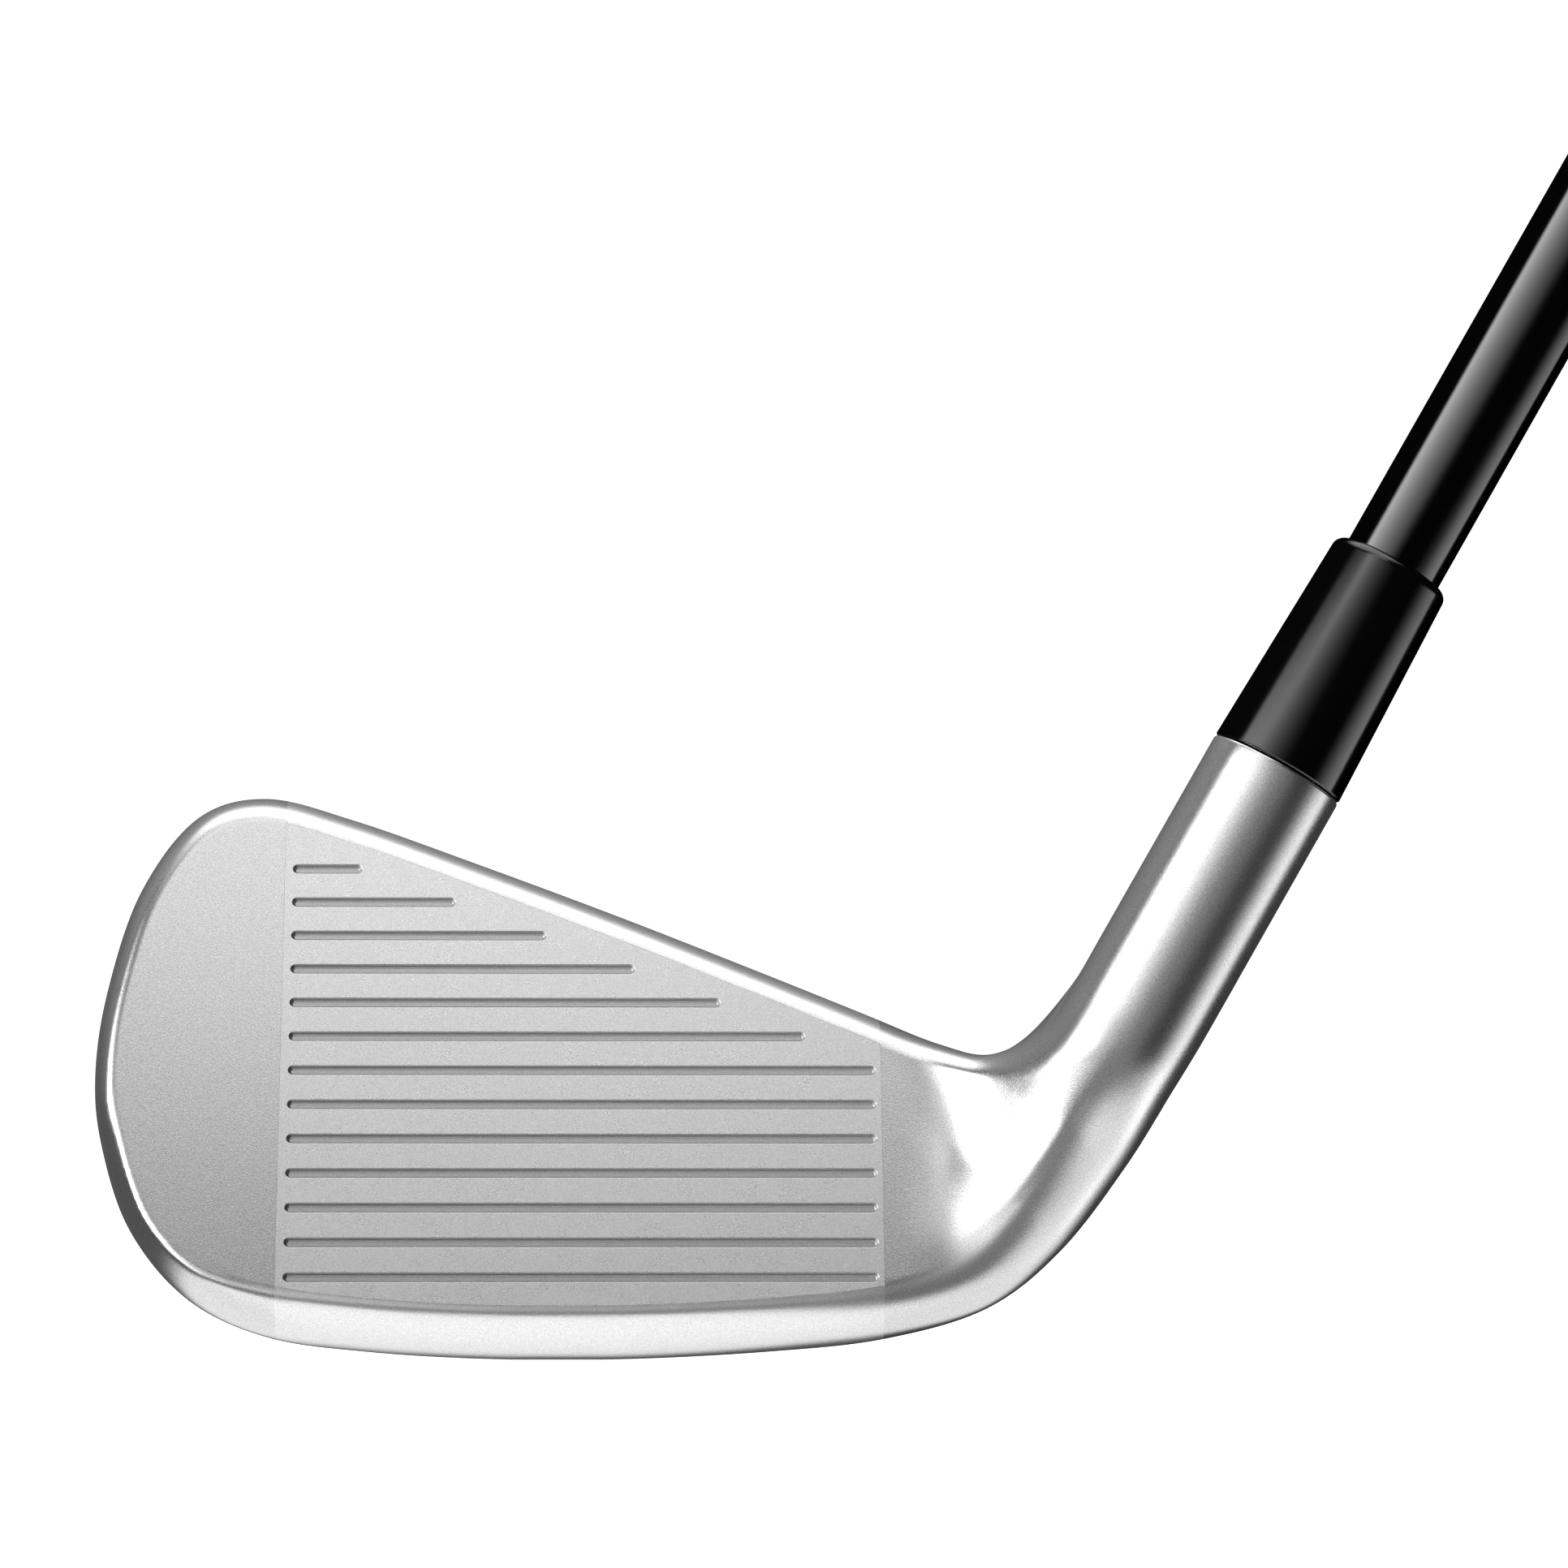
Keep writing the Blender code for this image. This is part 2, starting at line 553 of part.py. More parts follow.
def build_grip(rubber, cap_rubber, paper, axis):
    sleeve_end = CLUB_LENGTH - CAP_THICKNESS - GAP
    start = CLUB_LENGTH - GRIP_LENGTH
    tape_low, tape_high = start + 3.0, sleeve_end - 1.0
    tape_in = [shaft_radius(tape_low) + BOND_GAP, shaft_radius(tape_high) + BOND_GAP]
    add_object("grip_tape", turned([
        (tape_in[0], tape_low), (tape_in[0] + TAPE_THICKNESS, tape_low),
        (tape_in[1] + TAPE_THICKNESS, tape_high), (tape_in[1], tape_high)]), paper, axis)
    hole = TAPE_THICKNESS + 2 * BOND_GAP
    mouth_in, end_in = shaft_radius(start) + hole, shaft_radius(sleeve_end) + hole
    profile = [(mouth_in, start)]
    profile += corner(GRIP_MOUTH_RADIUS, start, GRIP_MOUTH_ROUND, 1, -1)[::-1]
    profile += [(GRIP_BUTT_RADIUS, sleeve_end - 6.0), (CAP_RADIUS, sleeve_end), (end_in, sleeve_end)]
    add_object("grip_sleeve", turned(profile), rubber, axis)
    top = CLUB_LENGTH
    low = top - CAP_THICKNESS
    cap = [(VENT_RADIUS, low), (CAP_RADIUS, low)]
    cap += corner(CAP_RADIUS, top - CAP_DOME, CAP_ROUND, 1, 1)
    cap += [(CAP_FLAT_RADIUS, top), (VENT_RADIUS, top)]
    add_object("grip_cap", turned(cap), cap_rubber, axis)


# ---- the club -------------------------------------------------------------------------------------
def build_club():
    clear_scene()
    axis = bpy.data.objects.new("shaft_axis", None)
    bpy.context.scene.collection.objects.link(axis)
    axis.location = (SHAFT_AXIS_X * MM, SHAFT_AXIS_Y * MM, 0.0)
    axis.rotation_euler = (0.0, pi / 2 - LIE, 0.0)
    satin = material("satin_chrome", (0.62, 0.63, 0.64), 0.34, 1.0)
    blasted = material("blasted_face", (0.66, 0.66, 0.67), 0.48, 1.0)
    build_head_body(satin, axis)
    build_face_plate(blasted)
    build_port_screw(material("screw_steel", (0.35, 0.35, 0.36), 0.35, 1.0))
    build_toe_weight(material("tungsten", (0.28, 0.28, 0.29), 0.5, 1.0))
    add_object("foam_core", cavity_skin(2 * GAP, core_floor),
               material("filler_foam", (0.75, 0.62, 0.30), 0.9, 0.0))
    build_shaft(material("gloss_black_graphite", (0.012, 0.012, 0.013), 0.12, 0.0), axis)
    build_hosel_epoxy(material("epoxy", (0.55, 0.48, 0.30), 0.4, 0.0), axis)
    build_tip_plug(material("brass_plug", (0.70, 0.50, 0.22), 0.35, 1.0), axis)
    build_ferrule(material("gloss_black_plastic", (0.010, 0.010, 0.011), 0.15, 0.0), axis)
    build_grip(material("grip_rubber", (0.018, 0.018, 0.019), 0.75, 0.0),
               material("cap_rubber", (0.014, 0.014, 0.015), 0.6, 0.0),
               material("tape_paper", (0.75, 0.72, 0.62), 0.85, 0.0), axis)


build_club()
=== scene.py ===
"""Looks of the iron golf club: fine meshes, finishes, studio and camera. Metres, +Z up.

The head, face plate, ferrule, shaft and grip are modelled again with the CAD's own shapes, finely
enough for close views, and stand for the CAD nodes. Lengths below are in millimetres.
"""
from math import atan2, cos, pi, radians, sin, tan

import bmesh
import bpy
import numpy as np
from mathutils import Matrix, Vector


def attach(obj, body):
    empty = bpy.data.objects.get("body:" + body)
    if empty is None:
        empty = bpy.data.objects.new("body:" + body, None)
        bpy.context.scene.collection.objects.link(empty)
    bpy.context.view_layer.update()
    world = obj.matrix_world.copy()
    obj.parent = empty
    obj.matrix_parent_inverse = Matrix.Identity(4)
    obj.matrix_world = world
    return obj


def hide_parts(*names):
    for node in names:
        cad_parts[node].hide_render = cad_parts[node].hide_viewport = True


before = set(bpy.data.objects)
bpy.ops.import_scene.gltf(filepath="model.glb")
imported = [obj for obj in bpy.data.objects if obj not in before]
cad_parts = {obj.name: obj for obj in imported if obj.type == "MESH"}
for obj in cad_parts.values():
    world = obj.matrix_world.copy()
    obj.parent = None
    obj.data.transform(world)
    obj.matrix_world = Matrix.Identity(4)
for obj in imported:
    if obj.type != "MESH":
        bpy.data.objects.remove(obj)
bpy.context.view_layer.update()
MM = 0.001

# ---- head -----------------------------------------------------------------------------------
LOFT = radians(21.0)
LIE = radians(60.2)
LEADING_EDGE_Y = -7.0       # where the face plane meets the leading edge
LEADING_EDGE_Z = 5.0
HOSEL_RADIUS = 6.8
HOSEL_TOP = 65.6            # along the shaft axis, from the ground
HOSEL_ROUND = 0.35
SHAFT_AXIS_X = 35.85        # where the shaft axis meets the ground
SHAFT_AXIS_Y = -3.3
TOP_THICKNESS = 8.0         # from the face to the back at the top line
SOLE_THICKNESS = 21.5       # the same at the ground
BULGE_TOP = 34.0            # height at which the back reaches its top thickness
MUSCLE_LINE = 24.0          # height of the step across the back
MUSCLE_STEP = 1.4
MUSCLE_SOFTNESS = 4.0
MUSCLE_REACH = (2.0, 7.0)   # from the outline, where the step fades in
SOLE_FLAT_DEPTH = 0.05      # how much of the sole's rocker is ground flat

# The outline seen from the front. Rib i joins point i of the upper rail to point i of the lower
# rail, and both rails start at the toe tip. The last ribs lie square across the hosel.
TOE_TIP = (-46.2, 27.5)
UPPER_RAIL = [(-45.3, 35.8), (-42.4, 45.7), (-37.1, 53.2), (-30.3, 55.3), (-21.5, 53.1),
              (-9.0, 48.6), (5.0, 43.3), (18.5, 37.9), (29.0, 33.6), (36.2, 30.6),
              (41.0, 29.5), (45.3, 31.8), (49.0, 36.7)]
LOWER_RAIL = [(-45.3, 20.5), (-42.3, 12.4), (-36.6, 5.8), (-29.0, 2.2), (-19.5, 0.8),
              (-7.5, 0.1), (6.0, 0.1), (19.5, 0.8), (30.5, 2.0), (40.4, 4.9),
              (47.5, 10.4), (53.55, 18.2), (58.4, 26.1)]
HOSEL_RIBS = (45.0, HOSEL_TOP, 86.2)    # along the shaft axis; the last one only steers the curve
BLADE_END_RIB = 9.3         # the last rib that is all blade
TIP_STATIONS = (0.012, 0.03, 0.06, 0.11, 0.18, 0.26, 0.34, 0.42)    # close together at the toe tip
BODY_START_RIB = 0.5
STATIONS_PER_RIB = 12
HOSEL_STATIONS = 14
HOSEL_ROUND_STEPS = 6
POINTS_ACROSS = 84
OUTLINE_SAMPLES = 700
RAIL_SAMPLES = 400

# Rounded edges as (width on the outline's side, depth along Y), at the top line and at the sole
FRONT_EDGE_TOP = (2.35, 4.8)
FRONT_EDGE_SOLE = (5.0, 6.5)
BACK_EDGE_TOP = (2.4, 2.5)
BACK_EDGE_SOLE = (3.0, 5.0)
SOLE_NORMAL_START = 0.4     # how far down an edge faces before it starts to turn into sole
SOLE_FLATNESS = (0.65, 0.28)    # 0 is an elliptical front edge, 1 a straight chamfer; sole and heel
FLAT_END_RIBS = (7.0, 9.5)      # between them the one turns into the other
FLAT_FADE = 1.4                 # how fast the flat part dies out in the neck
CORNER_NORMALS = (0.05, 0.4)    # how far down the edge faces where the flat part starts and is full
CORNER_SOFTNESS = 0.12

# The neck: a tube runs on from the hosel along the heel and dies out in the sole
NECK_RIBS = (8.2, 13.6)         # the front edge widens to the hosel's radius, on the lower rail
NECK_SWELL = 0.8                # and is this much wider than that, times 1/4, on the way
CROTCH_RIBS = (10.2, 14.0)      # the same on the upper rail
RISE_RIBS = (9.2, 13.2)         # the tube rises out of the face
CREST_REACH = 7.2               # from the heel's outline to the tube's crest
NECK_FLANK = (8.8, 18.8)        # from the crest to the face, low on the heel and below the crotch
FLANK_SHAPE = (1.6, 4.6)
# Stretches along the shaft axis, from the ground
FLANK_GROWTH_ALONG = (5.0, 30.0)
FLANK_END_ALONG = (17.0, 43.5)
HOSEL_ALONG = (32.0, 39.0)      # the section turns into the hosel's circle

# The filler port, square to the outline at the toe
PORT_RIB = -1.9             # on the lower rail
PORT_SETBACK = 0.8          # behind the middle of the thickness
PORT_RADIUS = 2.0
PORT_DEPTH = 6.0
PORT_STEPS = 64
PORT_OUTSIDE = 4.0          # how far its cutter stands out of the toe

# ---- face plate -----------------------------------------------------------------------------
PLATE_TOE_X = -28.0
PLATE_HEEL_X = 30.3
PLATE_THICKNESS = 2.0
PLATE_ABOVE_SOLE = 5.2
PLATE_BELOW_TOP = 2.55
PLATE_SEAM = 0.015
PLATE_STATIONS = 90
POCKET_DEPTHS = (-12.0, PLATE_THICKNESS + 0.3)  # the plate's pocket, from the face back

GROOVE_COUNT = 13
GROOVE_PITCH = 3.57         # up the face
GROOVE_FIRST = 3.08         # from the leading edge, up the face
GROOVE_TOE_X = -27.2
GROOVE_HEEL_X = 29.75
GROOVE_BELOW_TOP = 4.9
GROOVE_HALF_WIDTH = 0.475
# (half width, distance out from the face), from above the softened edge down to the floor
GROOVE_PROFILE = [(0.60, 0.10), (0.53, 0.0), (GROOVE_HALF_WIDTH, -0.03), (0.44, -0.09),
                  (0.40, -0.22), (0.34, -0.36), (0.22, -0.45)]
GROOVE_END_STEPS = 12

# ---- shaft and grip, along the shaft axis ---------------------------------------------------
CLUB_LENGTH = 990.6
BORE_RADIUS = 4.95
BORE_BOTTOM = 33.6
BORE_OVERSHOOT = 5.0        # how far the bore's cutter stands out of the hosel
BOND_GAP = 0.03
TIP_RADIUS = 4.62           # inside the hosel, where the paint is taken off
TIP_BEVEL = 0.5
SHAFT_TIP = 34.2
SHAFT_RADIUS = 4.95
PAINT_STEP = (-0.2, 0.8)    # the step up to the paint, from the hosel's top
SHAFT_TAPER_START = 300.0
BUTT_RADIUS = 7.6
BUTT_WALL = 1.0
SHAFT_INSIDE = (3.3, 3.05)  # inner radius where the taper starts, and at the tip
CAP_SEAT = 0.3              # from the shaft's end to the cap

SEAT_GAP = 0.12             # between the hosel's top and the ferrule
FERRULE_LENGTH = 22.8
FERRULE_TOP_RADIUS = 6.1
FERRULE_ROUND = 1.05
FERRULE_MOUTH = (0.4, 1.5)  # the inner bevel, across and along
FERRULE_BEVEL = 0.15

GRIP_LENGTH = 267.0
GRIP_MOUTH_RADIUS = 8.4
GRIP_MOUTH_ROUND = 1.2
GRIP_BUTT_RADIUS = 13.2
GRIP_FLARE = 6.0            # the last stretch before the cap
GRIP_END_STEP = 0.2         # the sleeve ends this much inside the cap's edge
TAPE_GAP = 0.31
SLEEVE_GAP = 0.05
CAP_RADIUS = 14.6
CAP_THICKNESS = 5.5
CAP_ROUND = 2.0
CAP_FLAT_RADIUS = 10.0
CAP_DOME = 0.5
VENT_RADIUS = 1.0

TURN_STEPS = 160
CORNER_STEPS = 8
TURNED_SHARP = radians(40)
HEAD_SHARP = radians(38)
FACE_SHARP = radians(30)
FLAT_NORMAL = 0.9995        # how closely a flat face's normal follows its plane's

# ---- finishes -------------------------------------------------------------------------------
SATIN_TONE = 0.66
SATIN_ROUGHNESS = 0.20
BLASTED_TONE = 0.74
BLASTED_ROUGHNESS = 0.28
BLAST_EDGE = 0.05           # half the width of the boundary between satin and blasted, mm
BLAST_FACING = (0.05, 0.15)     # normal Y between which the blasting ends
GRAIN_SCALE = 8000.0
GRAIN_CONTRAST = 1.1
GRAIN_HEIGHT = 0.00003
PATCH_SIZE = 14.0           # patches are this much larger than the grain
BLACK_TONE = 0.0005

# ---- studio ---------------------------------------------------------------------------------
# A turn is in degrees from the front, above 0 to the right, and a height in degrees over the
# horizon. A band is (low, high, half the fade at low, half the fade at high).
LEFT_LIGHT = 5.5
LEFT_FADE = (16.0, 91.0)    # turn at which it is dark, and how far on it is full
LEFT_EDGE = (-85.0, -72.0)
LEFT_HEIGHTS = (-3, 37, 7, 8)
CEILING_LIGHT = 1.6
CEILING_HEIGHTS = (48.0, 68.0)
RIGHT_LIGHT = 1.3
RIGHT_TURNS = (79, 109, 24, 3)
RIGHT_HEIGHTS = (-40, -12, 5, 6)
GROUND_LIGHT = 1.05
GROUND_DEPTHS = (26.0, 42.0)    # under the horizon
GROUND_TURNS = (-165, 158, 10, 6)
GROUND_ALL_ROUND = (58.0, 72.0)     # deeper than this the ground is bright at every turn
ROOM_LIGHT = 1.15           # on everything that isn't a mirror

FILL_RADIUS = 4000.0
FILL_BEHIND = 0.30
FILL_BEHIND_TURNS = (80.0, 110.0)
FILL_BEHIND_HEIGHTS = (-2.0, 58.0)
FILL_FRONT = 0.20
FILL_FRONT_TURNS = (-50, 26, 20, 16)
FILL_FRONT_HEIGHTS = (38.0, 15.0)   # dark above the first, full below the second
FILL_LEFT = 0.06
FILL_LEFT_TURNS = (-60.0, -100.0)
FILL_BASE = 0.05

KEY_AIM = (-5.0, 0.0, 28.0)
KEY_DISTANCE = 400.0
KEY_HEIGHT = radians(43.5)
KEY_HALF = (190.0, 150.0)
KEY_SIDE_FADE = 80.0
KEY_FADE = (-52.0, 62.0)
KEY_LIGHT = 1.4

FLOOR_X = (-1200, 1200)
FLOOR_Y = (-220, 1600)
FLOOR_Z = -0.2
FLOOR_GLOW = 0.75
CAMERA_PLACE = (4.0, -620.0, 10.0)
CAMERA_TARGET = (20.73, -3.3, 55.41)
CAMERA_LENS = 146.96
CAMERA_SENSOR = 36.0
CAMERA_CLIP = (0.01, 50.0)  # metres


# ---- helpers --------------------------------------------------------------------------------
def ease(low, high, value):
    u = np.clip((value - low) / (high - low), 0.0, 1.0)
    return u * u * (3.0 - 2.0 * u)


def mix(a, b, share):
    return a + (b - a) * share


def object_from(name, bm):
    bmesh.ops.remove_doubles(bm, verts=bm.verts, dist=1e-8)
    bmesh.ops.recalc_face_normals(bm, faces=bm.faces)
    mesh = bpy.data.meshes.new(name)
    bm.to_mesh(mesh)
    bm.free()
    made = bpy.data.objects.new(name, mesh)
    bpy.context.scene.collection.objects.link(made)
    return made


def smooth_shade(mesh, sharp):
    mesh.shade_smooth()
    mesh.set_sharp_from_angle(angle=sharp)


def cut_all(target, cutters):
    """Subtract the cutters for good, then remove them."""
    for cutter in cutters:
        step = target.modifiers.new("cut", "BOOLEAN")
        step.operation = "DIFFERENCE"
        step.solver = "EXACT"
        step.object = cutter
    bpy.context.view_layer.update()
    evaluated = target.evaluated_get(bpy.context.evaluated_depsgraph_get())
    mesh = bpy.data.meshes.new_from_object(evaluated)
    target.modifiers.clear()
    target.data = mesh
    for cutter in cutters:
        bpy.data.objects.remove(cutter, do_unlink=True)


def ride(piece, node):
    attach(piece, "root")
    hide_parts(node)


def show(piece, surface, node):
    piece.data.materials.clear()
    piece.data.materials.append(surface)
    ride(piece, node)


def paint(node, surface):
    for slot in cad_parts[node].material_slots:
        slot.material = surface


# ---- outline of the head --------------------------------------------------------------------
def hosel_edge(along, side):
    """A point on the hosel's outline: side -1 is the toe side, +1 the heel side."""
    return (SHAFT_AXIS_X + along * cos(LIE) + side * HOSEL_RADIUS * sin(LIE),
            along * sin(LIE) - side * HOSEL_RADIUS * cos(LIE))


OUTLINE = np.array([hosel_edge(s, 1) for s in reversed(HOSEL_RIBS)]
                   + LOWER_RAIL[::-1] + [TOE_TIP] + UPPER_RAIL
                   + [hosel_edge(s, -1) for s in HOSEL_RIBS])
TOE_INDEX = len(OUTLINE) // 2
HOSEL_RIB = len(UPPER_RAIL) + 1


def outline_point(t):
    """Catmull-Rom curve through the outline. t is 0 at the toe tip, above 0 on the upper rail."""
    place = t + TOE_INDEX
    first = min(max(int(place), 1), len(OUTLINE) - 3)
    u = place - first
    a, b, c, d = OUTLINE[first - 1:first + 3]
    x, z = 0.5 * (2 * b + (c - a) * u + (2 * a - 5 * b + 4 * c - d) * u ** 2
                  + (3 * b - a - 3 * c + d) * u ** 3)
    if t < 0:
        z = max(z - SOLE_FLAT_DEPTH, 0.0)
    return np.array((x, z))


RIM_T = np.linspace(-HOSEL_RIB - 1, HOSEL_RIB + 1, OUTLINE_SAMPLES)
RIM = np.array([outline_point(t) for t in RIM_T])
LOWER_SEGMENTS = int(np.searchsorted(RIM_T, 0.0))
RAIL_T = np.linspace(0.0, BLADE_END_RIB + 1.0, RAIL_SAMPLES)
RAILS = {side: np.array([outline_point(side * t) for t in RAIL_T]) for side in (-1, 1)}


def reach(x, z, stop=None):
    """Distance to the outline, or only to its segments before stop. Then the outline's parameter
    at the nearest point, and how far it faces down there."""
    start, along = RIM[:-1][:stop], np.diff(RIM, axis=0)[:stop]
    points = np.stack((x, z), axis=1)[:, None, :]
    share = np.clip(((points - start) * along).sum(2) / (along ** 2).sum(1), 0.0, 1.0)
    distance = np.hypot(*np.moveaxis(points - start - along * share[:, :, None], 2, 0))
    pick = distance.argmin(axis=1)
    facing_down = (-along[:, 0] / np.hypot(*along.T))[pick]
    place = pick + share[np.arange(len(pick)), pick]
    nearest_t = np.interp(place, np.arange(len(start)), RIM_T[:-1][:stop])
    return distance.min(axis=1), nearest_t, facing_down


def rail_height(x, side):
    """Height of the upper (+1) or lower (-1) rail at x, on the blade."""
    return np.interp(x, RAILS[side][:, 0], RAILS[side][:, 1])


# ---- front and back of the head -------------------------------------------------------------
def face_plane(z):
    return LEADING_EDGE_Y + (z - LEADING_EDGE_Z) * tan(LOFT)


def back_plane(z):
    return face_plane(z) + TOP_THICKNESS + (SOLE_THICKNESS - TOP_THICKNESS) * (
        1.0 - np.clip(z / BULGE_TOP, 0.0, 1.0)) ** 2


def rounded(distance, width, depth, flatness=0.0):
    """How far an edge has rolled back at this distance from the outline. A flat one has a corner."""
    share = np.clip(1.0 - distance / width, 0.0, 1.0)
    straight = np.sqrt(share ** 2 + CORNER_SOFTNESS ** 2) - CORNER_SOFTNESS
    return depth * mix(1.0 - np.sqrt(1.0 - share ** 2), straight, flatness)


def along_hosel(x, z):
    return (x - SHAFT_AXIS_X) * cos(LIE) + z * sin(LIE)


def off_hosel(x, z):
    return (x - SHAFT_AXIS_X) * sin(LIE) - z * cos(LIE)


def blade_depths(x, z):
    """Front and back of the blade, with the tube that runs on from the hosel along the heel."""
    distance, t, facing_down = reach(x, z)
    sole = np.clip((facing_down - SOLE_NORMAL_START) / (1 - SOLE_NORMAL_START), 0.0, 1.0) ** 3
    sole = np.where(t < -NECK_RIBS[0], 1.0, sole)
    neck = np.where(t < 0.0, ease(*NECK_RIBS, -t), ease(*CROTCH_RIBS, t))
    width = mix(mix(FRONT_EDGE_TOP[0], FRONT_EDGE_SOLE[0], sole), HOSEL_RADIUS, neck)
    width = width + NECK_SWELL * neck * (1.0 - neck)
    depth = mix(mix(FRONT_EDGE_TOP[1], FRONT_EDGE_SOLE[1], sole), HOSEL_RADIUS, neck)
    from_heel, heel_t, _ = reach(x, z, LOWER_SEGMENTS)
    along = along_hosel(x, z)
    flank = mix(*NECK_FLANK, ease(*FLANK_GROWTH_ALONG, along))
    flank_left = 1.0 - ease(*FLANK_END_ALONG, along)
    past_crest = np.clip((from_heel - CREST_REACH) / flank, 0.0, 1.0) * flank_left
    rise = ease(*RISE_RIBS, -heel_t) * (1.0 - past_crest ** FLANK_SHAPE[0]) ** FLANK_SHAPE[1]
    front = mix(face_plane(z), SHAFT_AXIS_Y - HOSEL_RADIUS, rise)
    cornered = np.where(t < 0.0, ease(*CORNER_NORMALS, facing_down), 0.0)
    flatness = mix(*SOLE_FLATNESS, ease(*FLAT_END_RIBS, -t))
    flatness = flatness * np.where(t < -NECK_RIBS[0], 1.0, cornered) * (1.0 - neck) ** FLAT_FADE
    front = front + rounded(distance, width, depth, flatness)
    muscle = MUSCLE_STEP * (
        1.0 - ease(MUSCLE_LINE - MUSCLE_SOFTNESS, MUSCLE_LINE + MUSCLE_SOFTNESS, z))
    back = (back_plane(z) + muscle * ease(*MUSCLE_REACH, distance)
            - rounded(distance, mix(BACK_EDGE_TOP[0], BACK_EDGE_SOLE[0], sole),
                      mix(BACK_EDGE_TOP[1], BACK_EDGE_SOLE[1], sole)))
    return front, back


# ---- mesh makers ----------------------------------------------------------------------------
def bridge(bm, near, far):
    """Faces between two closed loops of the same length."""
    for i in range(len(near)):
        j = (i + 1) % len(near)
        bm.faces.new((near[i], near[j], far[j], far[i]))


def skin(rows):
    """Closed bmesh from rows of (x, z, y front, y back), each from the lower to the upper rail."""
    bm = bmesh.new()
    loops = []
    for x, z, front, back in rows:
        ring = [bm.verts.new((a * MM, y * MM, b * MM)) for a, y, b in zip(x, front, z)]
        ring += [bm.verts.new((a * MM, y * MM, b * MM))
                 for a, y, b in zip(x[::-1], back[::-1], z[::-1])]
        loops.append(ring)
    for near, far in zip(loops, loops[1:]):
        bridge(bm, near, far)
    bm.faces.new(loops[0][::-1])
    bm.faces.new(loops[-1])
    return bm


def head_rows():
    """Stations from the toe to the hosel, then the straight hosel and its rounded top edge."""
    turns = np.linspace(0.0, pi, POINTS_ACROSS + 1)
    share = (1.0 - np.cos(turns)) / 2.0
    body_stations = int((HOSEL_RIB - BODY_START_RIB) * STATIONS_PER_RIB)
    body = np.linspace(BODY_START_RIB, HOSEL_RIB, body_stations)
    for t in np.concatenate((TIP_STATIONS, body)):
        low, high = outline_point(-t), outline_point(t)
        x, z = mix(low[0], high[0], share), mix(low[1], high[1], share)
        front, back = blade_depths(x, z)
        hosel = ease(*HOSEL_ALONG, along_hosel(x, z))
        swing = np.sqrt(np.clip(HOSEL_RADIUS ** 2 - off_hosel(x, z) ** 2, 0.0, None))
        yield x, z, mix(front, SHAFT_AXIS_Y - swing, hosel), mix(back, SHAFT_AXIS_Y + swing, hosel)
    plain = np.linspace(HOSEL_RIBS[0], HOSEL_TOP - HOSEL_ROUND, HOSEL_STATIONS)[1:]
    rings = [(along, HOSEL_RADIUS) for along in plain]
    rings += [(HOSEL_TOP - HOSEL_ROUND * (1 - sin(a)), HOSEL_RADIUS - HOSEL_ROUND * (1 - cos(a)))
              for a in np.linspace(0.0, pi / 2, HOSEL_ROUND_STEPS + 1)[1:]]
    for along, radius in rings:
        off = -radius * np.cos(turns)
        x = SHAFT_AXIS_X + along * cos(LIE) - off * sin(LIE)
        z = along * sin(LIE) + off * cos(LIE)
        yield x, z, SHAFT_AXIS_Y - radius * np.sin(turns), SHAFT_AXIS_Y + radius * np.sin(turns)


def plate_skin(grow, front, back):
    """The face plate's outline, grown by this much, between two depths behind the face."""
    rows = []
    for x in np.linspace(PLATE_TOE_X - grow, PLATE_HEEL_X + grow, PLATE_STATIONS):
        z = np.array((rail_height(x, -1) + PLATE_ABOVE_SOLE - grow,
                      rail_height(x, 1) - PLATE_BELOW_TOP + grow))
        rows.append((np.full(2, x), z, face_plane(z) + front, face_plane(z) + back))
    return skin(rows)


AXIS_PLACE = (Matrix.Translation((SHAFT_AXIS_X * MM, SHAFT_AXIS_Y * MM, 0.0))
              @ Matrix.Rotation(pi / 2 - LIE, 4, "Y"))


def turned(name, profile, place=AXIS_PLACE, steps=TURN_STEPS):
    """A closed (radius, along) profile turned about the shaft axis, or another."""
    bm = bmesh.new()
    points = [bm.verts.new((radius * MM, 0.0, along * MM)) for radius, along in profile]
    edges = [bm.edges.new((a, b)) for a, b in zip(points, points[1:] + points[:1])]
    bmesh.ops.spin(bm, geom=points + edges, cent=(0, 0, 0), axis=(0, 0, 1), angle=2 * pi,
                   steps=steps, use_merge=True)
    made = object_from(name, bm)
    made.data.transform(place)
    smooth_shade(made.data, TURNED_SHARP)
    return made


def rod(name, radius, low, high, place=AXIS_PLACE, steps=TURN_STEPS):
    return turned(name, [(0.0, low), (radius, low), (radius, high), (0.0, high)], place, steps)


def corner(radius, along, size, out, up):
    """A rounded corner of a turned profile. out and up say which way it points, as +1 or -1."""
    centre = (radius - out * size, along - up * size)
    angles = [pi / 2 * i / CORNER_STEPS for i in range(CORNER_STEPS + 1)]
    return [(centre[0] + out * size * cos(a), centre[1] + up * size * sin(a)) for a in angles]


def port_place():
    """Where the filler port is: its axis runs square out of the toe's outline."""
    x, z = outline_point(PORT_RIB)
    along = outline_point(PORT_RIB + 0.01) - outline_point(PORT_RIB - 0.01)
    y = (face_plane(z) + back_plane(z)) / 2 + PORT_SETBACK
    return (Matrix.Translation(Vector((x, y, z)) * MM)
            @ Matrix.Rotation(atan2(-along[1], along[0]), 4, "Y"))


